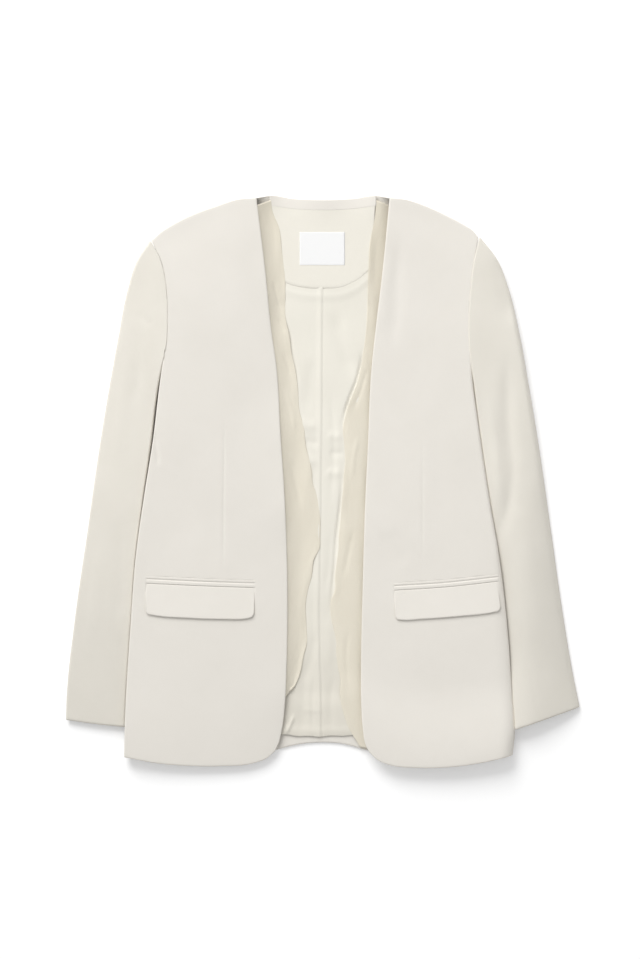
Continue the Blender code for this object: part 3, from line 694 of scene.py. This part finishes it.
class Sleeve(Panel):
    """One sleeve, from the outer fold to the inner one, and from the cuff to the cap."""

    def __init__(self, side):
        self.side, self.front, self.back = side, Front(side), Back(side)
        outer, inner = of_side(SLEEVE_OUTER, side), of_side(SLEEVE_INNER, side)
        cap = [(out + ARMHOLE_GAP, up) for out, up in of_side(ARMHOLE, side)[-2:0:-1]]
        self.plan = patch(
            outline(outer),
            outline(inner),
            outline(of_side(CUFF, side)),
            outline([outer[-1], *cap, inner[-1]]),
        )
        edge = np.array(joined(of_side(SIDE_SEAM, side), of_side(ARMHOLE, side)))
        self.body_side = smooth(edge[:, 1], edge[:, 0])

    def past_slit(self, place):
        """How far a place in plan lies beyond the slit's line, towards the body."""
        out, up = place[..., 0], place[..., 1]
        return self.body_side(up) + column(SLIT[self.side], 1)(up) - out

    def led(self, showing, along):
        """Shares across the sleeve by shares across what shows of it, which end at the slit."""
        steps = np.linspace(0, 1, LED_STEPS)
        rows, row = np.unique(along, return_inverse=True)
        shares, ups = np.meshgrid(steps, rows)
        past = self.past_slit(self.plan(shares, ups))
        slit = np.array([np.interp(0, line, steps) for line in np.maximum.accumulate(past, axis=1)])
        slit = np.minimum(slit, LED_LIMIT)[row]
        outer = slit * np.minimum(showing / SHOWING, 1)
        inner = (1 - slit) * np.clip((showing - SHOWING) / (1 - SHOWING), 0, 1) ** LED_BUNCHING
        return outer + inner

    def to_seam(self, across, along, height, body, cap):
        """The height of a layer, led up to the armhole of the body's own layer."""
        seam = body.height(0 * across + 1, 1 - across * (1 - self.front.underarm))
        return height + ease(along, *cap) * (seam - height)

    def under(self, across, along):
        """The height of the underside."""
        outer = 1 - roll(self.distance(across, along, 0, along), SIDE_ROLL)
        inner = 1 - roll(self.distance(across, along, 1, along), SIDE_ROLL)
        height = outer * OUTER_FOLD[self.side] + inner * INNER_FOLD
        return self.to_seam(across, along, height, self.back, CAP["under"])

    def top(self, showing, along):
        """The height of the top by the share of what shows of it, creases and all."""
        across = self.led(showing, along)
        place = self.plan(across, along)
        shares = np.clip(showing / SHOWING, 0, 1)
        knots = np.array([column(SLEEVE_LOFT[self.side], key)(along) for key in range(1, 6)])
        height = np.empty_like(shares)
        for k, share in enumerate(shares):
            height[k] = smooth(np.linspace(0, 1, 5), knots[:, k])(share)
        reach = narrowing(FOLD_ROLL[self.side], along)
        fold = 1 - roll(self.distance(across, along, 0, along), reach)
        height = height + fold * (OUTER_FOLD[self.side] - height)
        height = self.to_seam(across, along, LAYER_GAP + height, self.front, CAP["top"])
        height = height + (1 - fold) * self.relief(place, across, along)
        cut = ease(self.past_slit(place), *SLIT_SLOPE) * column(SLIT[self.side], 2)(place[..., 1])
        return height + cut * (self.under(across, along) + CLOTH_ON_CLOTH - height)

    def relief(self, place, across, along):
        """The seams, the cuff's edge and the creases of the top."""
        cap = 1 - roll(self.distance(across, along, across, 1), SEAM_REACH)
        cuff = 1 - roll(self.distance(across, along, across, 0), EDGE_REACH)
        relief = -SEAM_DIP * cap - EDGE_DIP * cuff
        for crease in SLEEVE_CREASES[self.side]:
            relief = relief + crease.at(place)
        return relief + swell(place, *SWELLS["sleeve"], SIDES[self.side])


def cloth(kind, columns, rows, place, side="", stands_for=(), up=True, around=False):
    """A piece of cloth: a grid laid at place(across, along), in a ring where it goes around."""
    name = f"{kind}_{side}" if side else kind
    finish, wall, slot, flat, area = PIECES[kind]
    across, along = (grid.ravel() for grid in np.meshgrid(columns, rows))
    points = place(across, along)
    wide, high = len(columns), len(rows)
    index = np.arange(wide * high).reshape(high, wide)
    right = np.roll(index, -1, axis=1) if around else index[:, 1:]
    left = index if around else index[:, :-1]
    faces = np.stack([left[:-1], right[:-1], right[1:], left[1:]], axis=-1).reshape(-1, 4)
    first = points[faces[:, 1]] - points[faces[:, 0]]
    second = points[faces[:, 3]] - points[faces[:, 0]]
    rising = np.cross(first, second)[:, 2].sum() > 0
    if not around and rising != up:
        faces = faces[:, ::-1]
    mesh = bpy.data.meshes.new(f"{name}_cloth")
    mesh.from_pydata((points * MM).tolist(), [], faces.tolist())
    mesh.shade_smooth()
    grain = mesh.attributes.new("grain", "FLOAT_VECTOR", "POINT")
    grain.data.foreach_set("vector", grain_of(points.reshape(high, wide, 3)).ravel())
    mesh.materials.append(bpy.data.materials[f"{finish}_finish"])
    if around and side == "right":
        mesh.flip_normals()
    piece = bpy.data.objects.new(f"{name}_cloth", mesh)
    bpy.context.scene.collection.objects.link(piece)
    solidify = piece.modifiers.new("Wall", "SOLIDIFY")
    solidify.thickness = wall * MM
    solidify.offset = -1
    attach(piece, "root")
    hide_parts(*(stands_for or [name]))


def grain_of(grid):
    """Distances along the weft and along the warp of a grid of points, in metres."""
    weft, warp = np.zeros(grid.shape[:2]), np.zeros(grid.shape[:2])
    weft[:, 1:] = np.cumsum(np.linalg.norm(np.diff(grid, axis=1), axis=2), axis=1)
    warp[1:] = np.cumsum(np.linalg.norm(np.diff(grid, axis=0), axis=2), axis=0)
    middle = weft[:, weft.shape[1] // 2][:, None]
    return np.stack([weft - middle, warp, 0 * warp], axis=-1) * MM


def standing(side, plan, height):
    """A place function from a plan and a height on one side of the wearer."""

    def place(across, along):
        flat = plan(across, along)
        return np.column_stack([SIDES[side] * flat[:, 0], flat[:, 1], height(across, along)])

    return place


def both_sides(backs, points):
    """The height of the two halves of the back at places in plan, x and y."""
    place = np.column_stack([np.abs(points[:, 0]), points[:, 1]])
    return np.where(points[:, 0] < 0, backs["right"].on(place), backs["left"].on(place))


def make_front(side):
    front = Front(side)
    wide, long, step, row_step = GRIDS["front"]
    columns = spacing(wide, step, first=TURNED_EDGE, last=quarter(BODY_ROLL[side][0], 9))
    columns = finer(columns, *DART_ZONE, FINE_STEP / wide)
    rows = spacing(long, row_step, first=TURNED_EDGE, last=quarter(SHOULDER_ROLL, 7))
    rows = finer(rows, *POCKET_ZONE, FINE_STEP / long)
    place = standing(side, front.plan, front.dressed)
    cloth("front", columns, rows, place, side)


def make_back(side):
    back = Back(side)
    wide, long, step, row_step = GRIDS["back"]
    columns = spacing(wide, step, last=np.append(TURNED_EDGE[:4], quarter(SIDE_ROLL, 9)[3:]))
    rows = spacing(long, row_step, last=quarter(BACK_ROLL, 9))
    cloth("back", columns, rows, standing(side, back.plan, back.height), side, up=False)


def make_sleeve(side):
    """A tube: its top from the outer fold to the inner one, and its underside back again."""
    sleeve = Sleeve(side)
    wide, long, step, row_step = GRIDS["sleeve"]
    showing = SHOWING * spacing(wide, step, first=quarter(SIDE_ROLL, 9))
    over = np.append(showing, SHOWING + (1 - SHOWING) * np.linspace(0, 1, 13)[1:])
    rounded = quarter(SIDE_ROLL, 5)
    under = spacing(UNDERSIDE, UNDERSIDE_STEP, first=rounded, last=rounded)
    columns = np.append(over, 2 - under[::-1])
    rows = spacing(long, row_step, first=TURNED_EDGE, last=TURNED_EDGE)

    def place(around, along):
        top = around <= 1
        across, height = 2 - around, np.empty_like(around)
        across[top] = sleeve.led(around[top], along[top])
        height[top] = sleeve.top(around[top], along[top])
        height[~top] = sleeve.under(across[~top], along[~top])
        flat = sleeve.plan(across, along)
        return np.column_stack([SIDES[side] * flat[:, 0], flat[:, 1], height])

    panels = [f"top_sleeve_{side}", f"under_sleeve_{side}"]
    cloth("sleeve", columns, rows, place, side, stands_for=panels, around=True)


def under_facing(up):
    """How far above the back's outer face the layers under a front facing reach, gap included."""
    layers = SHELL_WALL + GAP + LINING_WALL + GAP
    on_hem = (GAP + FACING_WALL) * (1 - ease(up, *FACING_OFF_HEM))
    return layers + on_hem + NECK_SEAM * ease(up, *FACING_ON_NECK_FACING)


def make_facing(side, backs):
    """A facing starts below the front's free edge and falls onto the lining, its edge standing off."""
    front, low = Front(side), FACING_LOW[side]
    inner = outline(FACING_INNER[side])

    def outer(along):
        return front.edge(low + (FACING_HIGH - low) * along) + (FACING_TUCK, 0)

    crossed = between(outer, inner)

    def plan(across, along):
        return crossed(along, across)

    def height(across, along):
        place, edge = plan(across, along), plan(0 * across, along)
        up, phase = place[:, 1], FACING_PHASE[side]
        on_back = both_sides(backs, place * (SIDES[side], 1))
        lying = under_facing(up) + on_back + FACING_WALL - FACING_SETTLES
        below_front = np.maximum(front.on(edge) - SHELL_WALL - FACING_DEPTH[side], lying)
        from_edge = np.linalg.norm(place - edge, axis=-1)
        free = np.linalg.norm(place - plan(0 * across + 1, along), axis=-1)
        drop = np.clip(FACING_FALLS * (from_edge + free) - FACING_TUCK, LEAST_DROP, FACING_DROP[side])
        fallen = 1 - (1 - np.clip((from_edge - FACING_TUCK + 1) / drop, 0, 1)) ** 2
        short = np.sin(up / CURL_WAVES[1] + 2 * phase)
        curl = FACING_CURL[side] * (1 + np.sin(up / CURL_WAVES[0] + phase) + CURL_SHORT * short)
        turned = FACING_TURN[side] * (1 - roll(free, FACING_TURN_REACH))
        standing_off = curl * (1 - ease(free, *CURL_REACH)) - turned
        rise, long, wide, end = FACING_WAVE
        waves = rise * (1 + np.sin(up / long + place[:, 0] / wide + phase)) * ease(free, 0, end)
        relief = sum(crease.at(place) for crease in FACING_CREASES[side])
        return below_front + fallen * (lying + standing_off + waves - below_front) + relief

    wide, long, step, row_step = GRIDS["facing"]
    columns, rows = spacing(wide, step, last=TURNED_EDGE[:5]), spacing(long, row_step)
    cloth("facing", columns, rows, standing(side, plan, height), side)


def make_neck(backs):
    """The neck facing over the lining's top, the band along the neck edge, and the label."""
    over_back = SHELL_WALL + 2 * GAP + LINING_WALL + FACING_WALL
    facing = between(across_both(NECK_FACING_LOWER), across_both(BACK_NECK))
    band = between(across_both(BACK_NECK, -NECK_BAND), across_both(BACK_NECK))

    def label(across, along):
        return np.column_stack([(across - 0.5) * LABEL[0], (along - 0.5) * LABEL[1]]) + LABEL_MIDDLE

    pieces = (  # plan, height over the facing, width and length, and how far and from where edges turn down
        ("neck_facing", facing, 0.0, (140, 115), (0.9, 3.6)),
        ("neck_band", band, 0.16, (140, NECK_BAND), (0.14, 2.4)),
        ("label", label, 0.26, LABEL, (0.14, 1.8)),
    )
    for name, plan, over, (wide, long), (dip, reach) in pieces:

        def place(across, along):
            points = plan(across, along)
            to_edges = np.minimum(
                np.linalg.norm(points - plan(across, 0 * along), axis=1),
                np.linalg.norm(points - plan(across, 0 * along + 1), axis=1),
            )
            height = both_sides(backs, points) + (over_back + over) - dip * (1 - roll(to_edges, reach))
            return np.column_stack([points, height])

        ends = TURNED_EDGE[:5]
        columns, rows = spacing(wide, NECK_STEP), spacing(long, NECK_STEP, first=ends, last=ends)
        below = "lining_cloth" if name == "neck_facing" else "neck_facing_cloth"
        cloth(name, columns, rows, place)


def make_lining(backs):
    """The back lining in one: a centre pleat, a bulge below the neck facing and a soft hem."""
    seam = outline(CENTRE_SEAM)(np.linspace(0, 1, 40))
    seam_x = smooth(seam[::-1, 1], seam[::-1, 0])
    edge = across_both(NECK_FACING_LOWER)(np.linspace(0, 1, 60))
    neck_edge = smooth(edge[:, 0], edge[:, 1])

    def place(across, along):
        x = (2 * across - 1) * LINING_SIDE
        wave, short, long = LINING_HEM_WAVE
        curve, power = LINING_HEM_CURVE
        hem = LINING_HEM + wave * np.sin(x / short) * np.sin(x / long + 1) + curve * np.abs(x) ** power
        y = hem + along * (LINING_TOP - hem)
        points = np.column_stack([x, y])
        on_hem = (GAP + FACING_WALL) * (1 - ease(y, *LINING_OFF_HEM))
        height = both_sides(backs, points) + SHELL_WALL + GAP + LINING_WALL + on_hem
        past_seam = x - seam_x(y)
        pleat = PLEAT_RISE * ease(-past_seam, *PLEAT_FOLD) * (1 - ease(-past_seam, *PLEAT_FALLS))
        height = height + pleat - hump(past_seam, *PLEAT_GROOVE)
        below = neck_edge(x) - y
        height = height + hump(below, *LINING_BULGE) + hump(below, *LINING_SEAM)
        from_hem = y - hem
        turn, reach = LINING_TURN
        height = height + hump(from_hem, *LINING_HEM_BULGE) - turn * (1 - roll(from_hem, reach))
        for crease in LINING_CREASES:
            height = height + crease.at(points)
        return np.column_stack([points, height + LINING_STANDS + swell(points, *SWELLS["lining"])])

    shown = LINING_SHOWN / (2 * LINING_SIDE)
    wide, long, step, row_step = GRIDS["lining"]
    columns = finer(spacing(wide, step), 0.5 - shown, 0.5 + shown, LINING_FINE_STEP / wide)
    rows = spacing(long, row_step, first=TURNED_EDGE)
    halves, below = ["lining_right", "lining_left"], ["back_right", "back_left", "hem_cloth"]
    cloth("lining", columns, rows, place, stands_for=halves)


def make_hem(backs):
    """The turned-up hem inside the back, in one from side seam to side seam."""
    plan = between(across_both(BACK_HEM), outline([(x, y + HEM_DEPTH) for x, y in HEM_UPPER]))

    def place(across, along):
        points = plan(across, along)
        to_hem = np.linalg.norm(points - plan(across, 0 * along), axis=1)
        rise = SHELL_WALL + GAP + FACING_WALL - HEM_SETTLES - EDGE_DIP * (1 - roll(to_hem, EDGE_REACH))
        return np.column_stack([points, both_sides(backs, points) + rise])

    wide, long, step, row_step = GRIDS["hem"]
    columns, rows = spacing(wide, step, first=(4,), last=(4,)), spacing(long, row_step, first=TURNED_EDGE)
    halves, below = ["hem_right", "hem_left"], ["back_right", "back_left"]
    cloth("hem", columns, rows, place, stands_for=halves)


def make_pocket(side):
    """A welt above the pocket's mouth and a flap below it, both on the front."""
    front = Front(side)
    mouth, lower = outline(of_side(POCKET_MOUTH, side)), outline(of_side(FLAP_LOWER, side))
    above = outline([(out, up + WELT_DEPTH + WELT_FLANGE) for out, up in of_side(POCKET_MOUTH, side)])
    below = outline([(out, up - GAP) for out, up in of_side(POCKET_MOUTH, side)])
    pieces = (  # edges, depth and the step of its grid, and how far the edges turn down
        ("pocket_welt", mouth, above, WELT_DEPTH + WELT_FLANGE, 0.5, WELT_TURN),
        ("pocket_flap", lower, below, FLAP_DEPTH, 1.5, FLAP_TURN),
    )
    for name, low, high, depth, row_step, dip in pieces:
        plan = between(low, high)

        def height(across, along):
            points = plan(across, along)
            edges = [(across, 0 * along)]
            if name == "pocket_welt":
                above_seam = along * depth - WELT_DEPTH
                lift = WELT_FLUSH - hump(above_seam, SEAM_GROOVE, 0, GROOVE_WIDTH)
            else:
                edges += [(0 * across, along), (0 * across + 1, along)]
                lift = FLAP_STANDS * (1 - along) - FLAP_SETTLES
            to_edge = np.min([np.linalg.norm(points - plan(*edge), axis=1) for edge in edges], axis=0)
            return front.on(points) + lift - dip * (1 - roll(to_edge, POCKET_TURN_REACH))

        ends = TURNED_EDGE[:5]
        columns = spacing(POCKET_WIDTH, POCKET_STEP, first=ends, last=ends)
        rows = spacing(depth, row_step, first=ends)
        cloth(name, columns, rows, standing(side, plan, height), side)


class Value:
    """A socket in a material's nodes. Python's operators on it add Math nodes."""

    def __init__(self, tree, socket=None):
        self.tree, self.socket = tree, socket

    def node(self, kind, settings=(), out=0, **values):
        """Add a node: its settings first, then its sockets, by name or as _ and a number."""
        node = self.tree.nodes.new(kind)
        for name, setting in dict(settings).items():
            setattr(node, name, setting)
        for name, value in values.items():
            key = int(name[1:]) if name[0] == "_" and name[1:].isdigit() else name.replace("_", " ")
            self.put(node.inputs[key], value)
        return Value(self.tree, node.outputs[out]) if node.outputs else None

    def put(self, socket, value):
        if isinstance(value, Value):
            self.tree.links.new(value.socket, socket)
        elif np.ndim(value) and len(value) == 3 and socket.type == "RGBA":
            socket.default_value = (*value, 1)
        else:
            socket.default_value = value

    def math(self, operation, first, second=0.0):
        return self.node("ShaderNodeMath", {"operation": operation}, _0=first, _1=second)

    def __add__(self, other):
        return self.math("ADD", self, other)

    def __mul__(self, other):
        return self.math("MULTIPLY", self, other)

    def __sub__(self, other):
        return self.math("SUBTRACT", self, other)

    def __rsub__(self, other):
        return self.math("SUBTRACT", other, self)

    __radd__, __rmul__ = __add__, __mul__

    def sine(self):
        return self.math("SINE", self)


def mixed(nodes, first, second, share):
    """A colour between two."""
    return nodes.node("ShaderNodeMix", {"data_type": "RGBA"}, out=2, _0=share, _6=first, _7=second)


def new_finish(name, roughness, **constants):
    """A material, its node tree as a Value, and its shader."""
    material = bpy.data.materials.new(f"{name}_finish")
    material.use_nodes = True
    shader = material.node_tree.nodes["Principled BSDF"]
    shader.inputs["Roughness"].default_value = roughness
    for socket, value in constants.items():
        shader.inputs[socket.replace("_", " ")].default_value = value
    return Value(material.node_tree), shader


def cloth_finish(name, colour, shade, thread, weave, roughness, above=None, **constants):
    """Woven cloth: its two sets of threads in relief, slubs along them, and slow clouds of colour."""
    nodes, shader = new_finish(name, roughness, **constants)
    grain = nodes.node("ShaderNodeAttribute", {"attribute_name": "grain"}, out=1)
    weft = nodes.node("ShaderNodeSeparateXYZ", Vector=grain)
    warp = nodes.node("ShaderNodeSeparateXYZ", out=1, Vector=grain)
    turn = 2 * np.pi / (thread * MM)
    threads = (weft * turn).sine() * (warp * turn).sine()
    slubs = 0
    for scale in ((*SLUB_SCALES, 1), (*SLUB_SCALES[::-1], 1)):
        drawn = nodes.node("ShaderNodeMapping", {"vector_type": "POINT"}, Vector=grain, Scale=scale)
        slubs = slubs + nodes.node("ShaderNodeTexNoise", Vector=drawn, Scale=1.0, Detail=2.0)
    clouds = nodes.node("ShaderNodeTexNoise", Vector=grain, Scale=CLOUD_SCALE, Detail=3.0)
    uneven = SLUB_SHADE * (slubs - 1) + CLOUD_SHADE * (clouds - 0.5) + 0.5
    shader_colour = mixed(nodes, colour, shade, uneven)
    # With above, the colour shifts along the warp to a second pair: this paints light and shade where the
    # cloth itself does not change.
    if above:
        from_up, to_up, high, high_shade = above
        share = nodes.node("ShaderNodeMapRange", Value=warp, From_Min=from_up, From_Max=to_up)
        shader_colour = mixed(nodes, shader_colour, mixed(nodes, high, high_shade, uneven), share)
    nodes.put(shader.inputs["Base Color"], shader_colour)
    relief = THREAD_RELIEF * threads + SLUB_RELIEF * slubs
    bump = nodes.node("ShaderNodeBump", Height=relief, Distance=weave * MM, Strength=0.5)
    nodes.put(shader.inputs["Normal"], bump)


def make_finishes():
    """A colour and its shade for each cloth; on the sleeves, facings and lining, painted shade too. The
    threads and the weave's relief are in millimetres.
    """
    suiting = {"thread": 0.55, "weave": 0.10, "roughness": 0.82, "Sheen_Weight": 0.15}
    cloth_finish("shell", (0.838, 0.803, 0.740), (0.808, 0.773, 0.708), **suiting)
    # Painted shade: the sleeves are the shell's cloth, coloured darker than the fronts; from 0.12 to 0.34 m
    # up the warp they turn lighter towards the cap.
    sleeve_painted_shade = 0.12, 0.34, (0.824, 0.788, 0.710), (0.794, 0.758, 0.676)
    cloth_finish("sleeve", (0.768, 0.734, 0.662), (0.740, 0.706, 0.630), above=sleeve_painted_shade, **suiting)
    # Painted shade: the facings are the shell's cloth, coloured darker and warmer as the shade and warm
    # bounce light inside the opening, and darker still from 0.54 to 0.68 m up the warp, towards the neck.
    facing_painted_shade = 0.54, 0.68, (0.752, 0.698, 0.584), (0.718, 0.664, 0.544)
    cloth_finish("facing", (0.825, 0.772, 0.655), (0.790, 0.735, 0.612), above=facing_painted_shade, **suiting)
    cloth_finish("neck", (0.880, 0.848, 0.760), (0.855, 0.820, 0.730), **suiting)
    cloth_finish("band", (0.868, 0.830, 0.764), (0.840, 0.802, 0.734), **suiting)
    # Painted shade: the lining's own colour is the pair it reaches from 0.04 to 0.24 m up the warp; below
    # that it is coloured darker towards the hem.
    lining_painted_shade = 0.04, 0.24, (0.862, 0.832, 0.744), (0.838, 0.806, 0.716)
    satin = {"thread": 0.30, "weave": 0.04, "roughness": 0.38, "Sheen_Weight": 0.10}
    cloth_finish("lining", (0.772, 0.737, 0.652), (0.748, 0.712, 0.624), above=lining_painted_shade, **satin)
    ribbon = {"thread": 0.40, "weave": 0.05, "roughness": 0.60}
    cloth_finish("label", (0.925, 0.926, 0.922), (0.905, 0.906, 0.905), **ribbon)


def seen(nodes):
    """1 for what the camera sees, itself or in a reflection."""
    glossy = nodes.node("ShaderNodeLightPath", out=3)
    return nodes.math("MAXIMUM", nodes.node("ShaderNodeLightPath"), glossy)


def make_stage():
    """A white floor that keeps the blazer's shadow, a broad soft lamp beyond the neck, and a pale room."""
    bpy.ops.mesh.primitive_plane_add(size=FLOOR_SIZE, location=(0, 0, FLOOR_UP))
    floor = bpy.context.object
    floor.name = "floor"
    material = bpy.data.materials.new("floor")
    material.use_nodes = True
    nodes = Value(material.node_tree)
    material.node_tree.nodes.clear()
    matt = nodes.node("ShaderNodeBsdfDiffuse", Color=(FLOOR_SHADE,) * 3)
    glow = nodes.node("ShaderNodeEmission", Color=(1, 1, 1), Strength=seen(nodes) * FLOOR_GLOW)
    both = nodes.node("ShaderNodeAddShader", _0=matt, _1=glow)
    nodes.node("ShaderNodeOutputMaterial", Surface=both)
    floor.data.materials.append(material)

    world = bpy.data.worlds.new("room")
    world.use_nodes = True
    bpy.context.scene.world = world
    nodes = Value(world.node_tree)
    world.node_tree.nodes.clear()
    strength = WORLD + (1 - WORLD) * seen(nodes)
    room = nodes.node("ShaderNodeBackground", Color=(1, 1, 1), Strength=strength)
    nodes.node("ShaderNodeOutputWorld", Surface=room)

    lamp = bpy.data.lights.new("softbox", "AREA")
    lamp.shape, lamp.size, lamp.energy = "SQUARE", LAMP_SIZE, LAMP
    softbox = bpy.data.objects.new("softbox", lamp)
    softbox.location = LAMP_PLACE
    softbox.rotation_euler = (-Vector(LAMP_PLACE)).to_track_quat("-Z", "Y").to_euler()
    bpy.context.scene.collection.objects.link(softbox)


def make_camera():
    data = bpy.data.cameras.new("camera")
    data.sensor_width = 36
    data.lens = data.sensor_width * (CAMERA_HEIGHT - CLOTH_HEIGHT) / FRAME_HEIGHT
    camera = bpy.data.objects.new("camera", data)
    camera.location = (*FRAME_MIDDLE, CAMERA_HEIGHT)
    bpy.context.scene.collection.objects.link(camera)
    bpy.context.scene.camera = camera


make_camera()
make_finishes()
backs = {side: Back(side) for side in SIDES}
make_hem(backs)
make_lining(backs)
make_neck(backs)
for side in SIDES:
    make_back(side)
    make_facing(side, backs)
    make_front(side)
    make_sleeve(side)
    make_pocket(side)
make_stage()
bpy.context.scene.view_settings.view_transform = "Standard"
